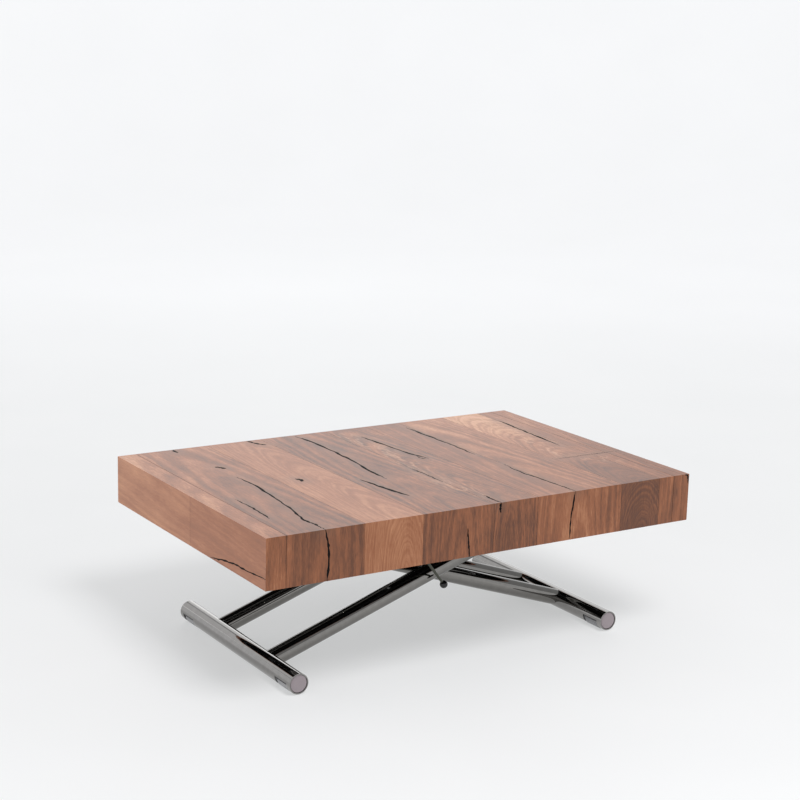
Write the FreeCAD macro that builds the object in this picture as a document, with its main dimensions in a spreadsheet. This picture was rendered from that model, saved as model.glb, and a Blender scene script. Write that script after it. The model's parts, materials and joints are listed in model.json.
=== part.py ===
import FreeCAD, Part
import os
import re
import Sketcher

# Convertible coffee and dining table: a plank-faced block top on a scissor of round tubes.
# Millimetres and degrees. X runs along the table, -Y faces the front, +Z is up, Z = 0 is the floor.
driving_sizes = {
    # block top
    "top_length": 1200,
    "top_width": 800,
    "block_height": 120,
    "board": 22,
    "end_width": 50,
    "seam_gap": 0.5,
    # scissor legs
    "leg_inset": 147,
    "rest_tilt": 18.66,
    "left_leg_diameter": 45,
    "right_leg_diameter": 42,
    "leg_wall": 2,
    "left_leg_y": 128,
    "leg_tip": 26,
    "leg_plug_depth": 12,
    "crossing_gap": 2.5,
    "pivot_drop": 93,
    # feet and their rollers
    "foot_diameter": 50,
    "foot_wall": 2.5,
    "foot_length": 580,
    "foot_plug_depth": 12,
    "slot_inset": 16,
    "slot_length": 56,
    "slot_drop": 2,
    "roller_radius": 20,
    "roller_width": 50,
    "roller_edge": 1.5,
    "axle_drop": 7,
    "axle_diameter": 8,
    "axle_grip": 8,
    # pivots
    "shaft_diameter": 16,
    "bush_wall": 2,
    "washer_rim": 7,
    "running_gap": 0.05,
    "free_gap": 0.3,
    "nut_radius": 14,
    "nut_height": 10,
    # steel frame inside the block
    "rail_y": 200,
    "rail_depth": 24,
    "rail_height": 36,
    "rail_wall": 3,
    "rail_end_gap": 5,
    "bar_height": 20,
    "bar_wall": 2,
    "tie_width": 35,
    "cross_width": 40,
    "bearer_end_gap": 30,
    "bracket_width": 30,
    "bracket_reach": 40,
    "bracket_wall": 3,
    "screw_spread": 9,
    "screw_drop": 26,
    "screw_radius": 2,
    "screw_length": 15,
    "screw_head_radius": 4,
    "screw_head": 2.5,
    "track_roller_width": 14,
    "track_end_gap": 3,
    # gas spring
    "gas_radius": 14,
    "gas_wall": 2,
    "gas_left": 205,
    "gas_right": 138,
    "gland_length": 14,
    "gas_bore_length": 275,
    "rod_radius": 5,
    "rod_reach": 303,
    "eye_wall": 7,
    "eye_width": 18,
    "clamp_width": 20,
    "clamp_wall": 8,
    # release lever and its link
    "lever_offset": 14,
    "lever_drop": 11,
    "lever_length": 199.8,
    "lever_slope": 52.2,
    "lever_y": 178,
    "lever_shaft_radius": 5,
    "lever_root_radius": 4.5,
    "lever_end_radius": 3.2,
    "hub_radius": 9,
    "hub_width": 12,
    "knob_radius": 10,
    "knob_grip": 6,
    "lever_bracket_inner_y": 42,
    "lever_bracket_outer_y": 165,
    "lever_bracket_wall": 4,
    "lever_bracket_side": 15,
    "crank_y": 31,
    "crank_throw": 15,
    "crank_width": 10,
    "crank_lip": 6,
    "link_y": 26,
    "link_wall": 4,
    "link_height": 6,
    "link_pin_radius": 2,
    "link_end_gap": 11,
    "valve_radius": 3,
    "valve_reach": 18,
    "valve_bore": 25,
    # extension leaves on telescopic slides
    "slide_length": 400,
    "slide_inset": 2,
    "slide_height": 45,
    "slide_depth": 13,
    "slide_wall": 1.5,
    "slide_gap": 0.4,
    "slide_step": 0.5,
    "slide_drop": 12,
    "leaf_thickness": 22,
    "leaf_drop": 3,
    "leaf_side_gap": 4,
    "leaf_end_gap": 5,
    "leaf_bearer_width": 35,
    "leaf_bearer_wall": 3,
    "leaf_bearer_height": 44,
    "leaf_bearer_short": 12,
    "overrun": 5,
}

# Places worked out from the driving sizes.
derived_sizes = {
    "foot_x": "top_length / 2 - leg_inset",
    "leg_length": "2 * foot_x / cos(rest_tilt)",
    "foot_z": "roller_radius + axle_drop",
    "foot_radius": "foot_diameter / 2",
    "pivot_z": "foot_z + leg_length * sin(rest_tilt)",
    "crossing_z": "foot_z + leg_length * sin(rest_tilt) / 2",
    "top_z": "pivot_z + pivot_drop",
    "under_z": "top_z - block_height",
    "panel_low": "top_z - board",
    "apron_in": "top_width / 2 - board",
    "seam_x": "top_length / 2 - end_width",
    "middle_half": "seam_x - seam_gap / 2",
    "end_in": "seam_x + seam_gap / 2",
    "right_leg_y": "left_leg_y - left_leg_diameter / 2 - right_leg_diameter / 2 - crossing_gap",
    "roller_y": "foot_length / 2 - slot_inset - slot_length / 2",
    "slot_out": "foot_length / 2 - slot_inset",
    "slot_in": "slot_out - slot_length",
    "plug_in": "foot_length / 2 - foot_plug_depth",
    "bore_radius": "shaft_diameter / 2 + running_gap",
    "bush_radius": "shaft_diameter / 2 + bush_wall",
    "rail_out": "rail_y + rail_depth",
    "rail_low": "pivot_z - rail_height / 2",
    "rail_high": "pivot_z + rail_height / 2",
    "rail_half": "middle_half - rail_end_gap",
    "bar_high": "rail_high + bar_height",
    "track_half": "rail_out - rail_wall - track_end_gap",
    "lever_x": "cross_x - lever_offset",
    "lever_z": "pivot_z - lever_drop",
    "link_z": "lever_z + crank_throw",
    "slide_out": "seam_x - slide_inset",
    "slide_in": "slide_out - slide_length",
    "cross_x": "slide_in - leaf_end_gap - cross_width / 2",
    "slide_high": "leaf_low - slide_drop",
    "slide_low": "slide_high - slide_height",
    "slide_tip": "apron_in - slide_depth",
    "leaf_high": "panel_low - leaf_drop",
    "leaf_low": "leaf_high - leaf_thickness",
}

doc = FreeCAD.newDocument("convertible_table")
sheet = doc.addObject("Spreadsheet::Sheet", "Sizes")
for row, (alias, size) in enumerate(driving_sizes.items(), start=1):
    sheet.set(f"A{row}", str(size))
    sheet.setAlias(f"A{row}", alias)
doc.recompute()

sub_parts = []


def formula(text):
    """Write a sum of named sizes as an expression on the sheet's cells."""
    def cell(match):
        word = match.group()
        if word in derived_sizes:
            return f"({formula(derived_sizes[word])})"
        return f"Sizes.{word}" if word in driving_sizes else word
    return re.sub(r"[a-z_]+", cell, text)


def number(text):
    return float(sheet.evalExpression(formula(text)))


def bind(thing, **formulas):
    for name, text in formulas.items():
        thing.setExpression(name, formula(text))


def place(thing, x="0", y="0", z="0", turn=None):
    """Stand a thing at x, y, z, turned by an (axis, angle) pair."""
    base = FreeCAD.Vector(number(x), number(y), number(z))
    rotation = FreeCAD.Rotation(turn[0], number(turn[1])) if turn else FreeCAD.Rotation()
    thing.Placement = FreeCAD.Placement(base, rotation)
    for axis, text in zip("xyz", (x, y, z)):
        thing.setExpression(f"Placement.Base.{axis}", formula(text))
    if turn:
        thing.setExpression("Placement.Rotation.Angle", formula(turn[1]))
    return thing


axis_x, axis_y, axis_z = FreeCAD.Vector(1, 0, 0), FreeCAD.Vector(0, 1, 0), FreeCAD.Vector(0, 0, 1)
along_x = (axis_y, "90")
along_y = (axis_x, "-90")
up_left_leg = (axis_y, "90 - rest_tilt")
up_right_leg = (axis_y, "rest_tilt - 90")
down_lever = (axis_y, "90 + lever_slope")


def block(name, xs, ys, zs):
    """A box between two corners."""
    solid = doc.addObject("Part::Box", name)
    bind(solid, Length=f"({xs[1]}) - ({xs[0]})", Width=f"({ys[1]}) - ({ys[0]})",
         Height=f"({zs[1]}) - ({zs[0]})")
    return place(solid, xs[0], ys[0], zs[0])


def rod(name, radius, length, at, turn=along_y):
    """A round bar that starts at a point."""
    solid = doc.addObject("Part::Cylinder", name)
    bind(solid, Radius=radius, Height=length)
    return place(solid, *at, turn)


def cross_rod(name, radius, x, z, half):
    """A round bar across the table, from -half to +half."""
    return rod(name, radius, f"2 * ({half})", (x, f"-({half})", z))


def group(name, solids):
    compound = doc.addObject("Part::Compound", name)
    compound.Links = solids
    return compound


def cut(name, base, *tools):
    result = doc.addObject("Part::Cut", name)
    result.Base = base
    result.Tool = tools[0] if len(tools) == 1 else group(f"{name}_tools", list(tools))
    return result


def join(name, *solids):
    result = doc.addObject("Part::MultiFuse", name)
    result.Shapes = list(solids)
    return result


def shared(name, base, tool):
    result = doc.addObject("Part::Common", name)
    result.Base = base
    result.Tool = tool
    return result


def mirrored(name, source, normal):
    result = doc.addObject("Part::Mirroring", name)
    result.Source = source
    result.Normal = normal
    return result


def pair(name, source, normal):
    return group(name, [source, mirrored(f"{name}_twin", source, normal)])


def sketched(name, role, outline):
    """A body with a fully placed closed outline on one of its origin planes."""
    body = doc.addObject("PartDesign::Body", name)
    sketch = body.newObject("Sketcher::SketchObject", f"{name}_outline")
    plane = next(feature for feature in body.Origin.OriginFeatures if feature.Role == role)
    sketch.AttachmentSupport = [(plane, "")]
    sketch.MapMode = "FlatFace"
    points = [FreeCAD.Vector(number(across), number(up), 0) for across, up in outline]
    count = len(points)
    for index, point in enumerate(points):
        sketch.addGeometry(Part.LineSegment(point, points[(index + 1) % count]))
    for index, (across, up) in enumerate(outline):
        sketch.addConstraint(Sketcher.Constraint("Coincident", index, 2, (index + 1) % count, 1))
        for kind, text, start in (("DistanceX", across, points[index].x), ("DistanceY", up, points[index].y)):
            place_of_point = sketch.addConstraint(Sketcher.Constraint(kind, -1, 1, index, 1, start))
            sketch.setExpression(f"Constraints[{place_of_point}]", formula(text))
    doc.recompute()
    return body, sketch


def extruded(name, role, outline, length):
    body, sketch = sketched(name, role, outline)
    pad = body.newObject("PartDesign::Pad", f"{name}_pad")
    pad.Profile = sketch
    bind(pad, Length=length)
    return body


def run_along_x(name, outline, xs):
    """An outline in Y and Z, drawn out along X."""
    return place(extruded(name, "YZ_Plane", outline, f"({xs[1]}) - ({xs[0]})"), x=xs[0])


def run_along_y(name, outline, ys):
    """An outline in X and Z, drawn out along Y; the plane faces -Y, so it starts at the far end."""
    return place(extruded(name, "XZ_Plane", outline, f"({ys[1]}) - ({ys[0]})"), y=ys[1])


def run_along_z(name, outline, zs):
    """An outline in X and Y, drawn up along Z."""
    return place(extruded(name, "XY_Plane", outline, f"({zs[1]}) - ({zs[0]})"), z=zs[0])


def turned(name, outline, at, turn=None):
    """A half outline of (along, radius) points spun about its own axis, which lies along Y."""
    body, sketch = sketched(name, "YZ_Plane", outline)
    spin = body.newObject("PartDesign::Revolution", f"{name}_spin")
    spin.Profile = sketch
    spin.ReferenceAxis = (sketch, ["H_Axis"])
    return place(body, *at, turn)


def keep(label, thing):
    """Name a finished sub-part; its label names its file."""
    thing.Label = label
    sub_parts.append(thing)
    return thing


def tube(name, diameter, wall, length, at, turn):
    outside = rod(f"{name}_outside", f"{diameter} / 2", length, at, turn)
    inside = rod(f"{name}_inside", f"{diameter} / 2 - {wall}", length, at, turn)
    return outside, inside


def roller(name, radius, width, edge, bore, at):
    """A wheel with broken edges and a bore, its middle at a point."""
    half = f"({width}) / 2"
    outline = [(f"-{half}", bore), (f"-{half}", f"{radius} - {edge}"), (f"-{half} + {edge}", radius),
               (f"{half} - {edge}", radius), (half, f"{radius} - {edge}"), (half, bore)]
    return turned(name, outline, at)


def channel(back, tip, low, high, wall):
    """A C section with its web at Y = back and its flanges reaching to Y = tip, nearer the middle."""
    web = f"{back} + {wall}"
    return [(back, low), (tip, low), (tip, f"{low} + {wall}"), (web, f"{low} + {wall}"),
            (web, f"{high} - {wall}"), (tip, f"{high} - {wall}"), (tip, high), (back, high)]


# Feet: a round tube across the table at each end, with rollers let into slots near its ends.
axle_bore = "axle_diameter / 2 + running_gap"
foot_outside = cross_rod("foot_outside", "foot_radius", "-foot_x", "foot_z", "foot_length / 2")
foot_inside = cross_rod("foot_inside", "foot_radius - foot_wall", "-foot_x", "foot_z", "foot_length / 2")
slot = block("roller_slot", ("-foot_x - foot_radius", "-foot_x + foot_radius"), ("-slot_out", "-slot_in"),
             ("foot_z - foot_radius - overrun", "foot_z - slot_drop"))
slots = pair("roller_slots", slot, axis_y)
foot = keep("left_foot_tube", cut("foot_tube", foot_outside, foot_inside, slots))

axle_out, axle_in = "plug_in + axle_grip", "slot_in - axle_grip"
axle = rod("roller_axle", "axle_diameter / 2", f"{axle_out} - ({axle_in})",
           ("-foot_x", f"-({axle_out})", "roller_radius"))
axles = keep("left_roller_axles", pair("roller_axles", axle, axis_y))

plug_disc = rod("foot_plug_disc", "foot_radius - foot_wall", "foot_plug_depth",
                ("-foot_x", "-foot_length / 2", "foot_z"))
plugs = keep("left_foot_plugs", pair("foot_plugs", cut("foot_plug", plug_disc, axle), axis_y))

web_disc = rod("roller_web_disc", "foot_radius - foot_wall", "axle_grip",
               ("-foot_x", "-slot_in", "foot_z"))
webs = keep("left_roller_webs", pair("roller_webs", cut("roller_web", web_disc, axle), axis_y))

for label, part in (("right_foot_tube", foot), ("right_roller_axles", axles), ("right_foot_plugs", plugs),
                    ("right_roller_webs", webs)):
    keep(label, mirrored(label, part, axis_x))

left_roller = roller("left_roller", "roller_radius", "roller_width", "roller_edge", axle_bore,
                     ("-foot_x", "-roller_y", "roller_radius"))
keep("left_rollers", pair("left_roller_pair", left_roller, axis_y))
for label, side in (("right_roller_front", "-"), ("right_roller_back", "")):
    keep(label, roller(label, "roller_radius", "roller_width", "roller_edge", axle_bore,
                       ("foot_x", f"{side}roller_y", "roller_radius")))

# Legs: two parallel tubes up from each foot, crossing on one shaft; the left pair is the outer one.
crossing_hole = cross_rod("crossing_hole", "shaft_diameter / 2", "0", "crossing_z", "left_leg_y")
crossing_bush_hole = cross_rod("crossing_bush_hole", "bush_radius", "0", "crossing_z", "left_leg_y")
upper_hole = cross_rod("upper_hole", "bush_radius", "foot_x", "pivot_z", "rail_y")
track_hole = cross_rod("track_hole", "shaft_diameter / 2", "-foot_x", "pivot_z", "left_leg_y")
right_foot_outside = mirrored("right_foot_outside", foot_outside, axis_x)
leg_reach = "leg_length + leg_tip"

outside, inside = tube("left_leg", "left_leg_diameter", "leg_wall", leg_reach,
                       ("-foot_x", "-left_leg_y", "foot_z"), up_left_leg)
left_leg = keep("left_leg_front", cut("left_leg", outside, inside, foot_outside, crossing_hole, upper_hole))
keep("left_leg_back", mirrored("left_leg_twin", left_leg, axis_y))

outside, inside = tube("right_leg", "right_leg_diameter", "leg_wall", leg_reach,
                       ("foot_x", "-right_leg_y", "foot_z"), up_right_leg)
right_leg = keep("right_leg_front", cut("right_leg", outside, inside, right_foot_outside, crossing_bush_hole,
                                        track_hole))
keep("right_leg_back", mirrored("right_leg_twin", right_leg, axis_y))

plug_start = "leg_length + leg_tip - leg_plug_depth"
plug_z = f"foot_z + ({plug_start}) * sin(rest_tilt)"
plug_x = f"({plug_start}) * cos(rest_tilt) - foot_x"
left_plug = rod("left_leg_plug", "left_leg_diameter / 2 - leg_wall", "leg_plug_depth",
                (plug_x, "-left_leg_y", plug_z), up_left_leg)
keep("left_leg_plugs", pair("left_leg_plug_pair", left_plug, axis_y))
right_plug = rod("right_leg_plug", "right_leg_diameter / 2 - leg_wall", "leg_plug_depth",
                 (f"-({plug_x})", "-right_leg_y", plug_z), up_right_leg)
keep("right_leg_plugs", pair("right_leg_plug_pair", right_plug, axis_y))

keep("crossing_shaft", cross_rod("crossing_shaft", "shaft_diameter / 2", "0", "crossing_z", "left_leg_y"))


def ring(name, inner, outer, x, z, ys):
    """A plain bush or washer lying across the table between two Y places."""
    length = f"({ys[1]}) - ({ys[0]})"
    hole = rod(f"{name}_bore", inner, length, (x, ys[0], z))
    return cut(name, rod(f"{name}_outside", outer, length, (x, ys[0], z)), hole)


washer = ring("crossing_washer", "shaft_diameter / 2", "shaft_diameter / 2 + washer_rim", "0", "crossing_z",
              ("-left_leg_y + left_leg_diameter / 2 + free_gap",
               "-right_leg_y - right_leg_diameter / 2 - free_gap"))
keep("crossing_washers", pair("crossing_washer_pair", washer, axis_y))
crossing_bush = ring("crossing_bush", "bore_radius", "bush_radius", "0", "crossing_z",
                     ("-right_leg_y - right_leg_diameter / 2", "-right_leg_y + right_leg_diameter / 2"))
keep("crossing_bushes", pair("crossing_bush_pair", crossing_bush, axis_y))
upper_bush = ring("upper_bush", "bore_radius", "bush_radius", "foot_x", "pivot_z",
                  ("-left_leg_y - left_leg_diameter / 2", "-left_leg_y + left_leg_diameter / 2"))
keep("upper_pivot_bushes", pair("upper_bush_pair", upper_bush, axis_y))

# Rollers that carry the block on the right legs' upper axle, running inside the rails.
keep("track_axle", cross_rod("track_axle", "shaft_diameter / 2", "-foot_x", "pivot_z", "track_half"))
for label, side in (("track_roller_front", "-"), ("track_roller_back", "")):
    keep(label, roller(label, "(rail_height / 2 - rail_wall - free_gap)", "track_roller_width", "roller_edge",
                       "bore_radius", ("-foot_x", f"{side}(track_half - track_roller_width / 2)", "pivot_z")))

# Frame: two channel rails along the table, tied by cross bars that carry the block.
rail_hole = cross_rod("rail_hole", "shaft_diameter / 2", "foot_x", "pivot_z", "rail_out + overrun")
rail_bar = run_along_x("rail_bar", channel("-rail_out", "-rail_y", "rail_low", "rail_high", "rail_wall"),
                       ("-rail_half", "rail_half"))
rail = keep("track_rail_front", cut("rail", rail_bar, rail_hole))
keep("track_rail_back", mirrored("rail_twin", rail, axis_y))


def cross_bar(name, xs, half):
    """A square-cornered steel tube across the rails."""
    bar = block(f"{name}_outside", xs, (f"-({half})", half), ("rail_high", "bar_high"))
    bore = block(f"{name}_bore", (f"{xs[0]} + bar_wall", f"{xs[1]} - bar_wall"), (f"-({half})", half),
                 ("rail_high + bar_wall", "bar_high - bar_wall"))
    return cut(name, bar, bore)


tie = cross_bar("frame_tie", ("-rail_half", "-rail_half + tie_width"), "rail_out")
keep("frame_ties", pair("frame_tie_pair", tie, axis_x))
cross_xs = ("-cross_x - cross_width / 2", "-cross_x + cross_width / 2")
keep("frame_crosses", pair("frame_cross_pair", cross_bar("frame_cross", cross_xs, "apron_in"), axis_x))
bearer = block("panel_bearer", cross_xs, ("bearer_end_gap - apron_in", "apron_in - bearer_end_gap"),
               ("bar_high", "panel_low"))
keep("panel_bearers", pair("panel_bearer_pair", bearer, axis_x))

keep("pivot_shaft", cross_rod("pivot_shaft", "shaft_diameter / 2", "foot_x", "pivot_z",
                              "rail_out + nut_height"))
nut_body = doc.addObject("Part::Prism", "pivot_nut_body")
bind(nut_body, Circumradius="nut_radius", Height="nut_height")
place(nut_body, "foot_x", "rail_out", "pivot_z", along_y)
nut = cut("pivot_nut", nut_body, rod("pivot_nut_bore", "shaft_diameter / 2", "nut_height",
                                     ("foot_x", "rail_out", "pivot_z")))
keep("pivot_nuts", pair("pivot_nut_pair", nut, axis_y))

# Brackets and screws that hold the aprons to the cross bars.
bracket_outline = [("-apron_in", "rail_high"), ("-apron_in", "rail_high - bracket_reach"),
                   ("-apron_in + bracket_wall", "rail_high - bracket_reach"),
                   ("-apron_in + bracket_wall", "rail_high - bracket_wall"),
                   ("-apron_in + bracket_reach", "rail_high - bracket_wall"),
                   ("-apron_in + bracket_reach", "rail_high")]
bracket_bar = run_along_x("bracket_bar", bracket_outline,
                          ("-cross_x - bracket_width / 2", "-cross_x + bracket_width / 2"))
screws = []
for hand, side in (("near", "-"), ("far", "")):
    x = f"-cross_x {'+' if side == '' else '-'} screw_spread"
    head = rod(f"{hand}_screw_head", "screw_head_radius", "screw_head",
               (x, "bracket_wall - apron_in", "rail_high - screw_drop"))
    shank = rod(f"{hand}_screw_shank", "screw_radius", "screw_length",
                (x, "bracket_wall - apron_in - screw_length", "rail_high - screw_drop"))
    screws.append(join(f"{hand}_screw", head, shank))
screw_row = group("screw_row", screws)
all_screws = keep("bracket_screws", pair("all_screws", pair("front_screws", screw_row, axis_x), axis_y))
bracket = cut("bracket", bracket_bar, screw_row)
keep("apron_brackets", pair("all_brackets", pair("front_brackets", bracket, axis_x), axis_y))

# Block top: the fixed middle between the two end seams, its boards mitred along the long edges.
panel_outline = [("-top_width / 2", "top_z"), ("-apron_in", "panel_low"), ("apron_in", "panel_low"),
                 ("top_width / 2", "top_z")]
apron_outline = [("-top_width / 2", "top_z"), ("-top_width / 2", "under_z"), ("-apron_in", "under_z"),
                 ("-apron_in", "panel_low")]
middle_xs = ("-middle_half", "middle_half")
keep("top_panel", run_along_x("top_panel", panel_outline, middle_xs))
apron_board = run_along_x("front_apron_board", apron_outline, middle_xs)
front_apron = cut("front_apron_drilled", apron_board, all_screws)
keep("front_apron", front_apron)
keep("back_apron", mirrored("back_apron_board", front_apron, axis_y))

# End sections: an end board, a top strip and two cheeks, mitred all round.
end_xs = ("-top_length / 2", "-end_in")
end_ys = ("-top_width / 2", "top_width / 2")
board_in = "-top_length / 2 + board"
strip_side = [("-top_length / 2", "top_z"), (board_in, "panel_low"), ("-end_in", "panel_low"),
              ("-end_in", "top_z")]
strip = shared("end_strip", run_along_y("end_strip_side", strip_side, end_ys),
               run_along_x("end_strip_end", panel_outline, end_xs))
board_side = [("-top_length / 2", "top_z"), ("-top_length / 2", "under_z"), (board_in, "under_z"),
              (board_in, "panel_low")]
board_plan = [("-top_length / 2", "-top_width / 2"), (board_in, "-apron_in"), (board_in, "apron_in"),
              ("-top_length / 2", "top_width / 2")]
end_board = shared("end_board", run_along_y("end_board_side", board_side, end_ys),
                   run_along_z("end_board_plan", board_plan, ("under_z", "top_z")))
cheek_plan = [("-top_length / 2", "-top_width / 2"), ("-end_in", "-top_width / 2"), ("-end_in", "-apron_in"),
              (board_in, "-apron_in")]
cheek = shared("end_cheek", run_along_x("end_cheek_end", apron_outline, end_xs),
               run_along_z("end_cheek_plan", cheek_plan, ("under_z", "top_z")))
end_pieces = {"end_strip": strip, "end_apron": end_board, "end_cheeks": pair("end_cheek_pair", cheek, axis_y)}

# Leaves stored under the top panel on three-part telescopic slides along the aprons.
slide_xs = ("-slide_out", "-slide_in")


def slide_member(name, layer):
    """One C section of the nested slide; layer 0 is screwed to the apron."""
    inset = f"{layer} * (slide_wall + slide_gap)"
    outline = channel(f"-apron_in + {inset}", f"-slide_tip - {2 - layer} * slide_step",
                      f"slide_low + {inset}", f"slide_high - ({inset})", "slide_wall")
    return pair(f"{name}_pair", run_along_x(name, outline, slide_xs), axis_y)


outers = slide_member("slide_outer", 0)
keep("slide_outers", pair("all_slide_outers", outers, axis_x))
end_pieces["slide_middles"] = slide_member("slide_middle", 1)
end_pieces["slide_inners"] = slide_member("slide_inner", 2)
end_pieces["leaf"] = block("leaf", slide_xs, ("leaf_side_gap - apron_in", "apron_in - leaf_side_gap"),
                           ("leaf_low", "leaf_high"))
bearer_tip = "-slide_tip + leaf_bearer_width"
bearer_outline = [("-slide_tip", "leaf_low"), ("-slide_tip", "leaf_low - leaf_bearer_height"),
                  ("-slide_tip + leaf_bearer_wall", "leaf_low - leaf_bearer_height"),
                  ("-slide_tip + leaf_bearer_wall", "leaf_low - leaf_bearer_wall"),
                  (bearer_tip, "leaf_low - leaf_bearer_wall"), (bearer_tip, "leaf_low")]
leaf_bearer = run_along_x("leaf_bearer", bearer_outline, (board_in, "-slide_in - leaf_bearer_short"))
end_pieces["leaf_bearers"] = pair("leaf_bearer_pair", leaf_bearer, axis_y)
for label, part in end_pieces.items():
    keep(f"left_{label}", part)
    keep(f"right_{label}", mirrored(f"right_{label}", part, axis_x))

# Gas spring: a cylinder clamped under the cross bars, its rod drawn in as the legs close under the block.
gas_length = "gas_left + gas_right"
valve_hole = "valve_radius + free_gap"
gas_outline = [("0", "rod_radius + free_gap"), ("0", "gas_radius"), (gas_length, "gas_radius"),
               (gas_length, valve_hole), (f"{gas_length} - valve_bore", valve_hole),
               (f"{gas_length} - valve_bore", "0"), ("gas_bore_length", "0"),
               ("gas_bore_length", "gas_radius - gas_wall"), ("gland_length", "gas_radius - gas_wall"),
               ("gland_length", "rod_radius + free_gap")]
keep("gas_cylinder", turned("gas_cylinder", gas_outline, ("-gas_left", "0", "pivot_z"), (axis_z, "-90")))
clamp_xs = ("-cross_x - clamp_width / 2", "-cross_x + clamp_width / 2")
clamp_block = block("gas_clamp_block", clamp_xs,
                    ("-gas_radius - clamp_wall", "gas_radius + clamp_wall"),
                    ("pivot_z - gas_radius - clamp_wall", "rail_high"))
clamp_bore = rod("gas_clamp_bore", "gas_radius", "clamp_width", (clamp_xs[0], "0", "pivot_z"), along_x)
keep("gas_clamps", pair("gas_clamp_pair", cut("gas_clamp", clamp_block, clamp_bore), axis_x))

eye_outline = [("-eye_width / 2", "bore_radius"), ("-eye_width / 2", "bore_radius + eye_wall"),
               ("eye_width / 2", "bore_radius + eye_wall"), ("eye_width / 2", "bore_radius")]
keep("gas_rod_eye", turned("gas_rod_eye", eye_outline, ("-foot_x", "0", "pivot_z")))
eye_solid = rod("eye_solid", "bore_radius + eye_wall", "eye_width", ("-foot_x", "-eye_width / 2", "pivot_z"))
rod_bar = rod("gas_rod_bar", "rod_radius", "rod_reach", ("-foot_x", "0", "pivot_z"), along_x)
keep("gas_rod", cut("gas_rod", rod_bar, eye_solid))

# Release lever: a knobbed rod on a cross shaft, whose crank draws a link to the valve.
shaft_ys = ("-lever_y - hub_width / 2", "-crank_y + link_wall / 2 + free_gap")
shaft_length = f"{shaft_ys[1]} - ({shaft_ys[0]})"
lever_at = ("-lever_x", shaft_ys[0], "lever_z")
lever_bar = rod("lever_shaft_bar", "lever_shaft_radius", shaft_length, lever_at)
crank_ys = ("-crank_y - link_wall / 2", "-crank_y + link_wall / 2")
crank = block("crank", ("-lever_x - crank_width / 2", "-lever_x + crank_width / 2"), crank_ys,
              ("lever_z", "link_z + crank_lip"))
crank_slot = block("crank_slot",
                   ("-lever_x - link_pin_radius - free_gap", "-lever_x + link_pin_radius + free_gap"),
                   crank_ys, ("link_z - crank_lip", "link_z + crank_lip"))
keep("lever_shaft", join("lever_shaft", lever_bar, cut("crank_fork", crank, crank_slot)))

hub = rod("lever_hub", "hub_radius", "hub_width", lever_at)
arm = doc.addObject("Part::Cone", "lever_arm")
bind(arm, Radius1="lever_root_radius", Radius2="lever_end_radius", Height="lever_length")
place(arm, "-lever_x", "-lever_y", "lever_z", down_lever)
keep("lever_rod", cut("lever_rod", join("lever_arm_and_hub", hub, arm), lever_bar))
ball = doc.addObject("Part::Sphere", "knob_ball")
bind(ball, Radius="knob_radius")
knob_reach = "lever_length + knob_radius - knob_grip"
place(ball, f"({knob_reach}) * cos(lever_slope) - lever_x", "-lever_y",
      f"lever_z - ({knob_reach}) * sin(lever_slope)")
keep("lever_knob", cut("lever_knob", ball, arm))

plates = []
for name, y in (("inner", "lever_bracket_inner_y"), ("outer", "lever_bracket_outer_y")):
    ys = (f"-{y} - lever_bracket_wall / 2", f"-{y} + lever_bracket_wall / 2")
    plate = block(f"{name}_lever_plate",
                  ("-lever_x - lever_bracket_side", "-lever_x + lever_bracket_side"), ys,
                  ("lever_z - lever_bracket_side", "rail_high"))
    hole = rod(f"{name}_lever_hole", "lever_shaft_radius + running_gap", "lever_bracket_wall",
               ("-lever_x", ys[0], "lever_z"))
    plates.append(cut(f"{name}_lever_bracket", plate, hole))
keep("lever_brackets", group("lever_bracket_group", plates))

link_ys = ("-link_y - link_wall / 2", "-link_y + link_wall / 2")
link_end = "gas_right + link_end_gap"
link_bar = block("link_bar", ("-lever_x - link_height / 2", f"{link_end} + link_wall"), link_ys,
                 ("link_z - link_height / 2", "link_z + link_height / 2"))
link_tab = block("link_tab", (link_end, f"{link_end} + link_wall"),
                 (link_ys[0], "valve_radius + link_height / 2"),
                 ("pivot_z - link_height", "link_z + link_height / 2"))
link_pin = rod("link_pin", "link_pin_radius", f"{link_ys[0]} - ({crank_ys[0]})",
               ("-lever_x", crank_ys[0], "link_z"))
valve_pin = rod("valve_pin", "valve_radius", f"{link_end} - (gas_right - valve_reach)",
                ("gas_right - valve_reach", "0", "pivot_z"), along_x)
keep("release_link", join("release_link", link_bar, link_tab, link_pin, valve_pin))

doc.recompute()

faults = [thing.Label for thing in doc.Objects if {"Invalid", "Error"} & set(thing.State)]
faults += [thing.Label for thing in sub_parts if thing.Shape.isNull() or not thing.Shape.isValid()]
if faults:
    raise SystemExit(f"These objects failed: {', '.join(faults)}")

os.makedirs("parts", exist_ok=True)
for thing in sub_parts:
    thing.Shape.exportStep(f"parts/{thing.Label}.step")
    bounds = thing.Shape.BoundBox
    print(f"{thing.Label}: {len(thing.Shape.Solids)} solid, x {bounds.XMin:.1f} to {bounds.XMax:.1f}, "
          f"y {bounds.YMin:.1f} to {bounds.YMax:.1f}, z {bounds.ZMin:.1f} to {bounds.ZMax:.1f}")
print(f"{len(sub_parts)} sub-parts")
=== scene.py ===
import json
import math
import random

import bpy
from mathutils import Matrix, Vector
from mathutils.geometry import intersect_point_line


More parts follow.
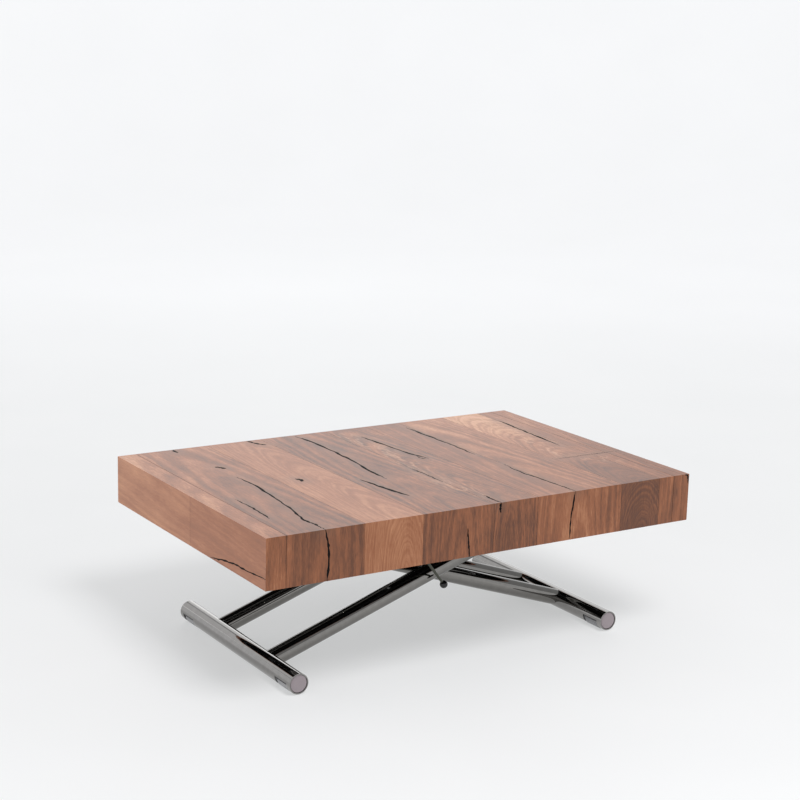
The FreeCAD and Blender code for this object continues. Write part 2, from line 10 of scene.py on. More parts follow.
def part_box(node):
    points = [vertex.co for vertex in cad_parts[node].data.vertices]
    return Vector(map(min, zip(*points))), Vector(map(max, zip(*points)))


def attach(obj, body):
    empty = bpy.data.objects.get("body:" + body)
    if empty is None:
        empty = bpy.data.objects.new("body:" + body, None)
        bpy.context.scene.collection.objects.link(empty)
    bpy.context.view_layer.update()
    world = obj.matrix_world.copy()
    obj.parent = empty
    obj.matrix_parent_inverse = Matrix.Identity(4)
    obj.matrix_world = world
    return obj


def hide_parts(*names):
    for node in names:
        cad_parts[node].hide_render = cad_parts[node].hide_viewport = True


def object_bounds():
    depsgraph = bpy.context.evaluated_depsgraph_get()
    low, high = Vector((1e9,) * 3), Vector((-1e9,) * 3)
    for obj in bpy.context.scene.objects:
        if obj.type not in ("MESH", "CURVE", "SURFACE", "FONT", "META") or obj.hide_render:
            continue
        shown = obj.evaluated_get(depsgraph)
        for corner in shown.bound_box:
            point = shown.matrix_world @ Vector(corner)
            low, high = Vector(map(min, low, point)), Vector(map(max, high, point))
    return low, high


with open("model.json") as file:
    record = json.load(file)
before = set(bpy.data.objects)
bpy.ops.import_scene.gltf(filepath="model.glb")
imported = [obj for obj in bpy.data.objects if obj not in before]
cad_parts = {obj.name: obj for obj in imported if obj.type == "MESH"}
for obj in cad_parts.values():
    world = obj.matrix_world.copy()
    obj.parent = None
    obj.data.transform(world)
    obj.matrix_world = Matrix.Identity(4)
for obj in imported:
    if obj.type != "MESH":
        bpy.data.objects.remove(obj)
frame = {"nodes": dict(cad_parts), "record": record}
cadLow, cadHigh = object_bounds()
nodes = frame["nodes"]
mm = 0.001
chance = random.Random(7)
noiseSpread = (0.3, 0.7)  # where a noise's lows and highs mostly lie
print("frame loaded with", len(nodes), "nodes")


# small helpers

def linear(hexColour):
    parts = [int(hexColour[i:i + 2], 16) / 255 for i in (1, 3, 5)]
    return (*[p / 12.92 if p <= 0.04045 else ((p + 0.055) / 1.055) ** 2.4 for p in parts], 1.0)


def addNode(tree, kind, inputs=None, **settings):
    node = tree.nodes.new(kind)
    for key, value in settings.items():
        setattr(node, key, value)
    for socket, value in (inputs or {}).items():
        if isinstance(value, bpy.types.NodeSocket):
            tree.links.new(value, node.inputs[socket])
        else:
            node.inputs[socket].default_value = value
    return node


def startMaterial(name):
    material = bpy.data.materials.new(name)
    material.use_nodes = True
    return material, material.node_tree, material.node_tree.nodes["Principled BSDF"]


def setRamp(ramp, stops):
    elements = ramp.color_ramp.elements
    while len(elements) < len(stops):
        elements.new(0.5)
    for element, (place, colour) in zip(elements, stops):
        element.position = place
        element.color = linear(colour)


def dress(piece, material):
    piece.data.materials.clear()
    piece.data.materials.append(material)


def selectOnly(piece):
    bpy.ops.object.select_all(action="DESELECT")
    piece.select_set(True)
    bpy.context.view_layer.objects.active = piece


def selectVerts(piece, wanted):
    # edit mode with only the wanted vertices selected
    selectOnly(piece)
    bpy.ops.object.mode_set(mode="EDIT")
    bpy.ops.mesh.select_all(action="DESELECT")
    bpy.ops.object.mode_set(mode="OBJECT")
    for vertex in piece.data.vertices:
        vertex.select = wanted(vertex.co)
    bpy.ops.object.mode_set(mode="EDIT")


def applyModifier(piece, kind, **settings):
    selectOnly(piece)
    modifier = piece.modifiers.new(kind.title(), kind)
    for key, value in settings.items():
        setattr(modifier, key, value)
    bpy.ops.object.modifier_apply(modifier=modifier.name)


def joinAs(name, pieces):
    bpy.ops.object.select_all(action="DESELECT")
    for piece in pieces:
        piece.select_set(True)
    bpy.context.view_layer.objects.active = pieces[0]
    if len(pieces) > 1:
        bpy.ops.object.join()
    whole = bpy.context.view_layer.objects.active
    whole.name = name
    whole.data.name = name
    return whole


# camera, solved from the block's corners in the photo
photoCamera = {
    "lens": 78.63, "sensor": 36,
    "place": (-2.3012, -3.5934, 1.5332),
    "yaw": -32.493, "pitch": 12.418, "roll": 1.454,
}


def addCamera():
    yaw, pitch, roll = (math.radians(photoCamera[k]) for k in ("yaw", "pitch", "roll"))
    ahead = Vector((-math.sin(yaw) * math.cos(pitch), math.cos(yaw) * math.cos(pitch), -math.sin(pitch)))
    level = Vector((math.cos(yaw), math.sin(yaw), 0))
    upright = level.cross(ahead)
    right = level * math.cos(roll) + upright * math.sin(roll)
    top = upright * math.cos(roll) - level * math.sin(roll)
    data = bpy.data.cameras.new("photoCamera")
    data.lens, data.sensor_width = photoCamera["lens"], photoCamera["sensor"]
    camera = bpy.data.objects.new("photoCamera", data)
    bpy.context.scene.collection.objects.link(camera)
    turn = Matrix((right, top, -ahead)).transposed()
    camera.matrix_world = Matrix.Translation(photoCamera["place"]) @ turn.to_4x4()
    bpy.context.scene.camera = camera


# floor that sweeps up into a wall all round, and soft light
studio = {
    "floorRadius": 7.0, "sweepRadius": 4.0, "sweepSteps": 10, "corners": 96,
    "floorColours": ("#AAAAAB", "#AEAEAF"), "mottleMm": 667, "roughness": 0.65, "specular": 0.25,
    # painted glow of the paper, light that it gives off itself, from the middle of the floor to the wall
    "glow": [(0.0, "#B2B3B3"), (0.2, "#C0C1C1"), (0.5, "#D0D1D2"), (1.0, "#D4D5D6")],
    "worldColour": "#F8F9FB", "worldStrength": 0.47, "lampAim": (0, 0, 0.3),
    "lamps": {  # place, size in metres, watts, what it lights: the floor, the table, or only gloss
        "floorSoftbox": ((-0.3, -3.2, 4.4), 2.0, 172, "floor"),
        "overheadSoftbox": ((0.3, 0.2, 5.0), 0.8, 80, "table"),
        "leftSoftbox": ((-4.4, 0.5, 2.9), 0.4, 70, "table"),
        "rightSoftbox": ((2.1, -2.8, 3.5), 0.4, 52, "table"),
        "backScreen": ((2.8, 5.5, 2.7), 4.5, 39, "gloss"),
        "leftScreen": ((-1.9, 5.8, 3.5), 4.0, 21, "gloss"),
    },
}


def makeFloorPaper():
    # seamless paper as in a bright studio; it glows as painted light, dimmer in the middle and brighter
    # towards the wall, so that shadows on it stay light
    material, tree, shader = startMaterial("seamlessPaper")
    place = addNode(tree, "ShaderNodeTexCoord").outputs["Object"]
    mottle = addNode(tree, "ShaderNodeTexNoise", {
        "Vector": place, "Scale": 1 / (studio["mottleMm"] * mm), "Detail": 2.0}).outputs["Fac"]
    ramp = addNode(tree, "ShaderNodeValToRGB", {"Fac": mottle})
    setRamp(ramp, list(zip(noiseSpread, studio["floorColours"])))
    tree.links.new(ramp.outputs["Color"], shader.inputs["Base Color"])
    shader.inputs["Roughness"].default_value = studio["roughness"]
    shader.inputs["Specular IOR Level"].default_value = studio["specular"]
    away = addNode(tree, "ShaderNodeVectorMath", {0: place}, operation="LENGTH").outputs["Value"]
    share = addNode(tree, "ShaderNodeMath", {0: away, 1: studio["floorRadius"] + studio["sweepRadius"]},
                    operation="DIVIDE").outputs[0]
    # painted light: the glow rises with the distance from the middle
    glow = addNode(tree, "ShaderNodeValToRGB", {"Fac": share})
    setRamp(glow, studio["glow"])
    tree.links.new(glow.outputs["Color"], shader.inputs["Emission Color"])
    shader.inputs["Emission Strength"].default_value = 1.0
    return material


def addStudio():
    bpy.ops.object.select_all(action="DESELECT")
    bpy.ops.mesh.primitive_circle_add(
        vertices=studio["corners"], radius=studio["floorRadius"], fill_type="NGON")
    floor = bpy.context.object
    floor.name = "studioFloor"
    bpy.ops.object.mode_set(mode="EDIT")
    bpy.ops.mesh.select_all(action="DESELECT")
    bpy.ops.mesh.select_mode(type="EDGE")
    bpy.ops.mesh.select_all(action="SELECT")
    reach, height = studio["floorRadius"], 0.0
    for step in range(1, studio["sweepSteps"] + 1):
        angle = math.pi / 2 * step / studio["sweepSteps"]
        newReach = studio["floorRadius"] + studio["sweepRadius"] * math.sin(angle)
        newHeight = studio["sweepRadius"] * (1 - math.cos(angle))
        bpy.ops.mesh.extrude_edges_move(TRANSFORM_OT_translate={"value": (0, 0, newHeight - height)})
        widen = newReach / reach
        bpy.ops.transform.resize(value=(widen, widen, 1), center_override=(0, 0, newHeight))
        reach, height = newReach, newHeight
    bpy.ops.mesh.select_mode(type="VERT")
    bpy.ops.object.mode_set(mode="OBJECT")
    bpy.ops.object.shade_smooth()
    dress(floor, makeFloorPaper())
    world = bpy.data.worlds.new("studioWorld")
    bpy.context.scene.world = world
    world.use_nodes = True
    backdrop = world.node_tree.nodes["Background"]
    backdrop.inputs["Color"].default_value = linear(studio["worldColour"])
    backdrop.inputs["Strength"].default_value = studio["worldStrength"]
    receivers = {}  # what a lamp reaches: the floor alone, or all but the floor
    for lights, state in (("floor", "INCLUDE"), ("table", "EXCLUDE")):
        receivers[lights] = bpy.data.collections.new(f"{lights}Receiver")
        receivers[lights].objects.link(floor)
        receivers[lights].collection_objects[0].light_linking.link_state = state
    for name, (place, size, watts, lights) in studio["lamps"].items():
        data = bpy.data.lights.new(name, "AREA")
        data.shape, data.size, data.energy = "DISK", size, watts
        lamp = bpy.data.objects.new(name, data)
        bpy.context.scene.collection.objects.link(lamp)
        lamp.location = place
        lamp.visible_camera = False
        lamp.visible_diffuse = lights != "gloss"
        lamp.light_linking.receiver_collection = receivers.get(lights)
        ahead = Vector(studio["lampAim"]) - Vector(place)
        lamp.rotation_euler = ahead.to_track_quat("-Z", "Y").to_euler()
    bpy.context.scene.view_settings.view_transform = "Standard"


addCamera()
addStudio()
print("camera and studio set")

# block sizes, read from the frame
panelLow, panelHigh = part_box("top_panel")
topZ, underZ = panelHigh.z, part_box("front_apron")[0].z
frontY, backY = panelLow.y, panelHigh.y
boardThick = panelHigh.z - panelLow.z
leftX, rightX = cadLow.x, cadHigh.x
seamLeft, seamRight = panelLow.x, panelHigh.x

# aged oak, sawn from old beams, brushed and oiled: long fibres, arched growth rings, darker heart,
# satin sheen
oak = {
    "stops": [(0.0, "#331507"), (0.3, "#683715"), (0.6, "#94562F"), (0.85, "#B67B54"), (1.0, "#CC9772")],
    "layers": {  # size across and along the grain in mm, fineness of the noise
        "fibre": (2.3, 120, 5.0), "pore": (1.8, 18, 2.0),  # both drawn coarser than the real ones, to show
        "fleck": (6, 55, 3.0), "patch": (65, 140, 2.0), "vein": (20, 90, 2.0),
        "wander": (55, 240, 3.0), "fray": (5, 22, 3.0),
    },
    "layerRoughness": 0.55, "wanderBy": 30 * mm, "frayBy": 4 * mm, "ringSpread": (0.34, 0.66),
    "weights": {"ring": 0.20, "patch": 0.50, "fleck": 0.34, "fibre": 0.40, "pore": 0.52},
    "veinColour": "#D2A27E", "veinWidth": 0.05, "veinStrength": 0.5,
    "smokeColour": "#70503C", "smokeStrength": 0.4,
    "roughness": (0.36, 0.5), "sheen": 0.19, "sheenRoughness": 0.5,
    "bumpStrength": 0.35, "bumpHeight": 0.4 * mm, "poreBump": 0.8,
}


def makeOak():
    material, tree, shader = startMaterial("brushedOak")
    grain = addNode(tree, "ShaderNodeUVMap", uv_map="grain").outputs["UV"]
    tone, depth, runOut, ringSize, contrast, smoke, veining = (
        addNode(tree, "ShaderNodeAttribute", attribute_name=name).outputs["Fac"]
        for name in ("tone", "depth", "runOut", "ringSize", "contrast", "smoke", "veining"))
    # each layer is a noise drawn out along the grain; its swing is the same about zero
    noise, swing = {}, {}
    for name, (wide, long, detail) in oak["layers"].items():
        place = addNode(tree, "ShaderNodeVectorMath", {0: grain, 1: (1 / (wide * mm), 1 / (long * mm), 1)},
                        operation="MULTIPLY").outputs[0]
        noise[name] = addNode(tree, "ShaderNodeTexNoise", {
            "Vector": place, "Scale": 1.0, "Detail": detail,
            "Roughness": oak["layerRoughness"]}).outputs["Fac"]
        swing[name] = addNode(tree, "ShaderNodeMath", {0: noise[name], 1: 0.5},
                              operation="SUBTRACT").outputs[0]
    split = addNode(tree, "ShaderNodeSeparateXYZ", {"Vector": grain})
    across = split.outputs["X"]
    for name in ("wander", "fray"):
        across = addNode(tree, "ShaderNodeMath", {0: swing[name], 1: oak[f"{name}By"], 2: across},
                         operation="MULTIPLY_ADD").outputs[0]
    cutDepth = addNode(tree, "ShaderNodeMath", {0: split.outputs["Y"], 1: runOut, 2: depth},
                       operation="MULTIPLY_ADD").outputs[0]
    fromHeart = addNode(tree, "ShaderNodeCombineXYZ", {"X": across, "Y": cutDepth}).outputs[0]
    radius = addNode(tree, "ShaderNodeVectorMath", {0: fromHeart}, operation="LENGTH").outputs["Value"]
    # growth rings of uneven width: noise along the radius only
    frayed = addNode(tree, "ShaderNodeMath", {0: swing["fray"], 1: oak["frayBy"], 2: radius},
                     operation="MULTIPLY_ADD").outputs[0]
    count = addNode(tree, "ShaderNodeMath", {0: frayed, 1: ringSize}, operation="DIVIDE").outputs[0]
    bands = addNode(tree, "ShaderNodeTexNoise", {"W": count, "Scale": 1.0, "Detail": 2.0, "Roughness": 0.5},
                    noise_dimensions="1D").outputs["Fac"]
    early, late = oak["ringSpread"]
    ring = addNode(tree, "ShaderNodeMapRange", {"Value": bands, "From Min": early, "From Max": late},
                   interpolation_type="SMOOTHSTEP").outputs[0]
    swing["ring"] = addNode(tree, "ShaderNodeMath", {0: ring, 1: 0.5}, operation="SUBTRACT").outputs[0]
    figure = 0.0
    for name, weight in oak["weights"].items():
        figure = addNode(tree, "ShaderNodeMath", {0: swing[name], 1: weight, 2: figure},
                         operation="MULTIPLY_ADD").outputs[0]
    shade = addNode(tree, "ShaderNodeMath", {0: figure, 1: contrast, 2: tone},
                    operation="MULTIPLY_ADD").outputs[0]
    ramp = addNode(tree, "ShaderNodeValToRGB", {"Fac": shade})
    setRamp(ramp, oak["stops"])
    colour = ramp.outputs["Color"]
    # pale veins: thin lines where a noise crosses its middle; smoke: a dull veil round the cracks
    offMiddle = addNode(tree, "ShaderNodeMath", {0: swing["vein"]}, operation="ABSOLUTE").outputs[0]
    vein = addNode(tree, "ShaderNodeMapRange", {
        "Value": offMiddle, "From Max": oak["veinWidth"], "To Min": oak["veinStrength"],
        "To Max": 0.0}).outputs[0]
    for name, place, strength in (("vein", veining, vein), ("smoke", smoke, oak["smokeStrength"])):
        veil = addNode(tree, "ShaderNodeMath", {0: place, 1: strength}, operation="MULTIPLY").outputs[0]
        colour = addNode(tree, "ShaderNodeMix", {0: veil, 6: colour, 7: linear(oak[f"{name}Colour"])},
                         data_type="RGBA").outputs[2]
    tree.links.new(colour, shader.inputs["Base Color"])
    smooth, rough = oak["roughness"]
    spread = addNode(tree, "ShaderNodeMapRange", {
        "Value": noise["fibre"], "To Min": smooth, "To Max": rough})
    tree.links.new(spread.outputs[0], shader.inputs["Roughness"])
    height = addNode(tree, "ShaderNodeMath", {0: swing["pore"], 1: oak["poreBump"], 2: noise["fibre"]},
                     operation="MULTIPLY_ADD").outputs[0]
    bump = addNode(tree, "ShaderNodeBump", {
        "Height": height, "Strength": oak["bumpStrength"], "Distance": oak["bumpHeight"]})
    tree.links.new(bump.outputs["Normal"], shader.inputs["Normal"])
    # brushed fibres stand up a little: a pale haze where the boards are seen at a low angle
    shader.inputs["Sheen Weight"].default_value = oak["sheen"]
    shader.inputs["Sheen Roughness"].default_value = oak["sheenRoughness"]
    return material


# near black on the boards' unseen sides, as painted shade of the hollow under the top, and on the bevels
# where two boards meet, as dark joints: dull, with the grain still there
innerBlack = {"colours": ("#141312", "#1F1C1A"), "grainMm": 20, "roughness": 0.8, "specular": 0.1}


def makeShadeAndJointBlack():
    material, tree, shader = startMaterial("shadeAndJointBlack")
    place = addNode(tree, "ShaderNodeTexCoord").outputs["Object"]
    grain = addNode(tree, "ShaderNodeTexNoise", {
        "Vector": place, "Scale": 1 / (innerBlack["grainMm"] * mm), "Detail": 4.0}).outputs["Fac"]
    ramp = addNode(tree, "ShaderNodeValToRGB", {"Fac": grain})
    setRamp(ramp, list(zip(noiseSpread, innerBlack["colours"])))
    tree.links.new(ramp.outputs["Color"], shader.inputs["Base Color"])
    shader.inputs["Roughness"].default_value = innerBlack["roughness"]
    shader.inputs["Specular IOR Level"].default_value = innerBlack["specular"]
    return material


brushedOak = makeOak()
shadeAndJointBlack = makeShadeAndJointBlack()

# planks across the table: each runs over the front and back edges, so top, front and back share one list
planks = {
    # left and right edge in mm, tone at the front and at the back, heart off the middle and depth of
    # the cut in mm, run-out on top and on the front, ring width in mm, contrast of the figure
    "endTan": (-600, -550, 0.57, 0.66, 10, 160, 0.04, 0.04, 9, 1.0),
    "darkSplit": (-550, -351, 0.40, 0.58, -8, 90, 0.05, 0.05, 9, 0.9),
    "lightTan": (-351, -195, 0.69, 0.62, 34, 46, 0.08, 0.30, 4, 0.6),
    "greyBrown": (-195, 2, 0.41, 0.44, 12, 60, 0.06, 0.06, 8, 1.0),
    "redBrown": (2, 129, 0.42, 0.46, -16, 26, 0.09, 0.12, 6, 1.1),
    "paleBrown": (129, 236, 0.56, 0.41, 60, 140, 0.03, 0.03, 9, 0.9),
    "midBrown": (236, 383, 0.55, 0.63, -50, 80, 0.06, 0.06, 8, 1.0),
    "smokedHeart": (383, 504, 0.30, 0.95, 10, 70, 0.14, 0.50, 4, 0.8),
    "stripedBrown": (504, 578, 0.48, 0.60, 70, 120, 0.04, 0.04, 8, 0.9),
    "lastStrip": (578, 600, 0.46, 0.58, 90, 150, 0.03, 0.03, 8, 0.8),
}
boards = {
    "arris": 0.25 * mm,    # broken edge of each board
    "meshStep": 14 * mm,   # spacing of the points that carry the smoke round cracks
    "shiftStep": 3.7,      # how far apart in metres two planks are cut from the tree, so no figure repeats
    "buttY": -128 * mm,    # butt joint across the planks at the right
    "buttPlanks": ("smokedHeart", "stripedBrown", "lastStrip"),
    "topFigure": 1.2,      # how much stronger the figure shows on the top, and weaker on the ends
    "endFigure": 0.5,
    "endPaintedHaze": 0.06,     # painted light: the back board of each end is a little lighter, as a pale haze
    "smoothAngle": 15,
}


def addBoard(low, high, mitres):
    # a block between two corners; each mitre draws one inner edge in by the board's thickness
    bpy.ops.object.select_all(action="DESELECT")
    bpy.ops.mesh.primitive_cube_add(size=1, location=[(a + b) / 2 for a, b in zip(low, high)])
    board = bpy.context.object
    board.data.materials.append(brushedOak)
    board.data.materials.append(shadeAndJointBlack)
    board.scale = [b - a for a, b in zip(low, high)]
    bpy.ops.object.transform_apply(location=True, rotation=True, scale=True)
    corners = (low, high)
    for (innerAxis, innerEnd), (sideAxis, sideEnd) in mitres:
        inner, side = corners[innerEnd][innerAxis], corners[sideEnd][sideAxis]
        selectVerts(board, lambda co: abs(co[innerAxis] - inner) < mm and abs(co[sideAxis] - side) < mm)
        draw = [0, 0, 0]
        draw[sideAxis] = boardThick if sideEnd == 0 else -boardThick
        bpy.ops.transform.translate(value=draw)
        bpy.ops.object.mode_set(mode="OBJECT")
    applyModifier(board, "BEVEL", width=boards["arris"], segments=2, limit_method="ANGLE")
    return board


def atJoint(place):
    # between two boards, and not on one of the block's own edges
    inside = (leftX + mm < place.x < rightX - mm, frontY + mm < place.y < backY - mm,
              underZ + mm < place.z < topZ - mm)
    return sum(inside) >= 2


def subdivideFaces(board, normal):
    # a grid of points on the outer face, and the second finish, near black, on the inner one as painted
    # shade and on the joint bevels as dark joints
    selectOnly(board)
    bpy.ops.object.mode_set(mode="EDIT")
    bpy.ops.mesh.select_all(action="DESELECT")
    bpy.ops.mesh.select_mode(type="FACE")
    bpy.ops.object.mode_set(mode="OBJECT")
    mesh = board.data
    outer = max((f for f in mesh.polygons if f.normal.dot(normal) > 0.99), key=lambda f: f.area)
    for face in mesh.polygons:
        face.select = face.index == outer.index
        outwards = face.normal.dot(normal)
        arris = 0.1 < outwards < 0.99
        # faces turned inwards get the near black as painted shade; bevels between boards get it as dark
        # joints
        face.material_index = 1 if outwards < -0.5 or (arris and atJoint(face.center)) else 0
    corners = [mesh.vertices[i].co for i in outer.vertices]
    longest = max((a - b).length for a in corners for b in corners)
    bpy.ops.object.mode_set(mode="EDIT")
    bpy.ops.mesh.subdivide(number_cuts=int(longest / boards["meshStep"]))
    bpy.ops.mesh.select_mode(type="VERT")
    bpy.ops.object.mode_set(mode="OBJECT")


def mapGrain(board, plank, across, along, steep=False, paintedHaze=0.0, figure=1.0):
    # grain map in metres: u across the plank from its heart, v along it
    left, right, frontTone, backTone, heart, depth, runOut, frontRunOut, ringSize, contrast = planks[plank]
    shift = boards["shiftStep"] * (1 + list(planks).index(plank))
    runOut = frontRunOut if steep else runOut
    mesh = board.data
    grain = mesh.uv_layers.active
    grain.name = "grain"
    heartX = ((left + right) / 2 + heart) * mm
    for loop in mesh.loops:
        place = mesh.vertices[loop.vertex_index].co
        grain.data[loop.index].uv = (across(place) - heartX, along(place) + shift)
    even = {"depth": depth * mm - runOut * shift, "runOut": runOut, "ringSize": ringSize * mm,
            "contrast": contrast * figure}
    for kind in ("tone", *even):
        mesh.attributes.new(kind, "FLOAT", "POINT")
    for kind, value in even.items():
        mesh.attributes[kind].data.foreach_set("value", [value] * len(mesh.vertices))
    shares = [min(1.0, max(0.0, (vertex.co.y - frontY) / (backY - frontY))) for vertex in mesh.vertices]
    tones = [frontTone + (backTone - frontTone) * share + paintedHaze for share in shares]
    mesh.attributes["tone"].data.foreach_set("value", tones)


def planksBetween(low, high):
    # planks that lie between two x places, and their ends there
    for plank, (left, right, *_) in planks.items():
        start, end = max(left * mm, low), min(right * mm, high)
        if end - start >= mm:
            yield plank, start, end


def endMitres(inner, start, end, corner):
    # the mitre at the block's own end, on the last board there
    atEnd = start <= leftX + mm if corner == 0 else end >= rightX - mm
    return [(inner, (0, corner))] if corner is not None and atEnd else []


def addTopBoards(low, high, corner=None):
    # boards of the table top between two x places
    made = []
    under = (2, 0)
    for plank, start, end in planksBetween(low, high):
        spans = [(frontY, backY)]
        if plank in boards["buttPlanks"]:
            spans = [(frontY, boards["buttY"]), (boards["buttY"], backY)]
        for near, far in spans:
            longEdges = enumerate((frontY, backY))
            mitres = [(under, (1, side)) for side, edge in longEdges if edge in (near, far)]
            mitres += endMitres(under, start, end, corner)
            board = addBoard((start, near, topZ - boardThick), (end, far, topZ), mitres)
            subdivideFaces(board, Vector((0, 0, 1)))
            mapGrain(board, plank, lambda co: co.x, lambda co: co.y - frontY, figure=boards["topFigure"])
            made.append(board)
    return made


def addApronBoards(low, high, face, corner=None):
    # upright boards on the front (face -1) or back (face 1), in line with the planks on top
    made = []
    near, far = (frontY, frontY + boardThick) if face < 0 else (backY - boardThick, backY)
    inner = (1, 1 if face < 0 else 0)
    for plank, start, end in planksBetween(low, high):
        mitres = [(inner, (2, 1))] + endMitres(inner, start, end, corner)
        board = addBoard((start, near, underZ), (end, far, topZ), mitres)
        subdivideFaces(board, Vector((0, face, 0)))
        if face < 0:
            mapGrain(board, plank, lambda co: co.x, lambda co: co.z - topZ, steep=True)
        else:
            mapGrain(board, plank, lambda co: co.x, lambda co: backY - frontY + topZ - co.z)
        made.append(board)
    return made


def addEndBoards(side, plank, seam):
    # two boards along the end face, butted at a seam, with the grain of the plank above
    edge = leftX if side < 0 else rightX
    low, high = (edge, edge + boardThick) if side < 0 else (edge - boardThick, edge)
    inner = (0, 1 if side < 0 else 0)
    made = []
    for corner, (near, far) in enumerate(((frontY, seam), (seam, backY))):
        board = addBoard((low, near, underZ), (high, far, topZ), [(inner, (2, 1)), (inner, (1, corner))])
        subdivideFaces(board, Vector((side, 0, 0)))
        mapGrain(board, plank, lambda co: edge + side * (topZ - co.z), lambda co: co.y - frontY,
                 # painted haze: the back board of each end is drawn lighter
                 paintedHaze=corner * boards["endPaintedHaze"], figure=boards["endFigure"])
        made.append(board)
    return made


woodPieces = {
    "topPlanks": (addTopBoards(seamLeft, seamRight), "top", ["top_panel"]),
    "frontPlanks": (addApronBoards(seamLeft, seamRight, -1), "top", ["front_apron"]),
    "backPlanks": (addApronBoards(seamLeft, seamRight, 1), "top", ["back_apron"]),
}

# end sections: way out along x, the plank on top, seam between the two boards of the end face
endSections = {"left": (-1, "endTan", -22 * mm), "right": (1, "lastStrip", 60 * mm)}
for corner, (name, (side, lastPlank, seam)) in enumerate(endSections.items()):
    stripLow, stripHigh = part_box(f"{name}_end_strip")
    strip = addTopBoards(stripLow.x, stripHigh.x, corner)
    woodPieces[f"{name}EndStrip"] = (strip, f"{name}_end", [f"{name}_end_strip"])
    endFace = addEndBoards(side, lastPlank, seam)
    woodPieces[f"{name}EndBoards"] = (endFace, f"{name}_end", [f"{name}_end_apron"])
    cheeks = [board for face in (-1, 1) for board in addApronBoards(stripLow.x, stripHigh.x, face, corner)]
    woodPieces[f"{name}Cheeks"] = (cheeks, f"{name}_end", [f"{name}_end_cheeks"])

# stored leaves: boards like the top's, lying across the table
leaf = {"boards": [("midBrown", 140), ("paleBrown", 120), ("redBrown", 140)]}


def addLeafBoards(node):
    low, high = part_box(node)
    made = []
    start = low.x
    for plank, width in leaf["boards"]:
        end = min(start + width * mm, high.x)
        board = addBoard((start, low.y, low.z), (end, high.y, high.z), [])
        subdivideFaces(board, Vector((0, 0, 1)))
        middle = (planks[plank][0] + planks[plank][1]) / 2 * mm - (start + end) / 2
        mapGrain(board, plank, lambda co: co.x + middle, lambda co: co.y - 2 * frontY)
        made.append(board)
        start = end
    return made


for side in ("left", "right"):
    woodPieces[f"{side}Leaf"] = (addLeafBoards(f"{side}_leaf"), f"{side}_end", [f"{side}_leaf"])
print("boards cut:", sum(len(made) for made, _, _ in woodPieces.values()))

# resin-filled cracks: the face they are on and the body they ride on, then for each its points on the face,
# in mm from the block's middle and down from the top, and its widest opening
cracks = {
    "topCracks": ("top", "top", [
        (((-449, 398), (-452, 380), (-450, 364)), 6),
        (((-424, 84), (-420, 8), (-429, -110), (-441, -223), (-459, -318), (-453, -360),
          (-453, -400)), 5.2),
        (((-519, -93), (-515, -141), (-516, -204), (-522, -269)), 4.4),
        (((-236, 398), (-226, 366), (-210, 337)), 7.5),
        (((-95, 388), (-88, 336), (-84, 195), (-90, 109), (-105, -32), (-106, -96)), 6),
        (((-168, -73), (-156, -165), (-139, -251)), 8.5),
        (((60, 303), (71, 203), (79, 91), (98, 28)), 6),
        (((82, 62), (80, 40), (86, 24)), 3),
        (((227, 342), (229, 236), (230, 124), (227, 9)), 6),
        (((507, 295), (500, 201), (494, 98), (486, -14)), 6.2),
        (((234, -112), (228, -199), (235, -293), (240, -400)), 4),
        (((22, -326), (20, -362), (21, -400)), 4.6),
        (((0, -44), (3, -110), (1, -184)), 3.4),
        (((-428, 196), (-418, 180), (-412, 168)), 8),
        (((-304, 6), (-298, -10), (-304, -24)), 8),
        (((386, -128), (440, -127), (508, -128), (575, -128)), 1.6),
    ]),
    "frontCracks": ("front", "top", [
        (((-453, 0), (-444, -38), (-443, -77), (-446, -120)), 8),
        (((240, 0), (231, -51), (227, -118)), 6.2),
        (((20, 0), (19, -12), (20, -25)), 8),
        (((-72, -50), (-68, -90), (-64, -120)), 6),
    ]),
    "leftEndCracks": ("left", "left_end", [
        (((-130, -118), (-201, -106), (-249, -99), (-304, -99), (-400, -93)), 6),
    ]),
    "rightCornerChip": ("front", "right_end", [
        (((586, -1), (593, -2), (596, -6), (597, -14), (597, -24)), 6),
    ]),
    "rightEndChip": ("right", "right_end", [
        (((-397, -2), (-396, -9), (-397, -17), (-397, -24)), 5),
    ]),
}
crackShape = {
    "pointsPerSpan": 7, "rise": 0.2 * mm, "smokeReach": 24 * mm,
    "tip": 0.15, "openTip": 0.3, "taper": 5, "widths": (0.4, 1.0),  # shares of the widest opening
    "wander": {"top": 2.2 * mm, "front": 0.8 * mm, "left": 1.0 * mm, "right": 0.5 * mm},
    "widen": {"top": 1.5, "front": 0.95, "left": 0.9, "right": 1.0},
}
outward = {"top": Vector((0, 0, 1)), "front": Vector((0, -1, 0)), "left": Vector((-1, 0, 0)),
           "right": Vector((1, 0, 0))}


def facePoint(face, across, other):
    if face == "top":
        return Vector((across * mm, other * mm, topZ))
    if face == "front":
        return Vector((across * mm, frontY, topZ + other * mm))
    return Vector((leftX if face == "left" else rightX, across * mm, topZ + other * mm))


def crackLine(face, points):
    # the chosen points with smaller wandering ones between them
    line = []
    places = [facePoint(face, *point) for point in points]
    for a, b in zip(places, places[1:]):
        sideways = (b - a).normalized().cross(outward[face])
        for step in range(crackShape["pointsPerSpan"]):
            wander = 0 if step == 0 else chance.uniform(-1, 1) * crackShape["wander"][face]
            line.append(a.lerp(b, step / crackShape["pointsPerSpan"]) + sideways * wander)
    return line + [places[-1]]


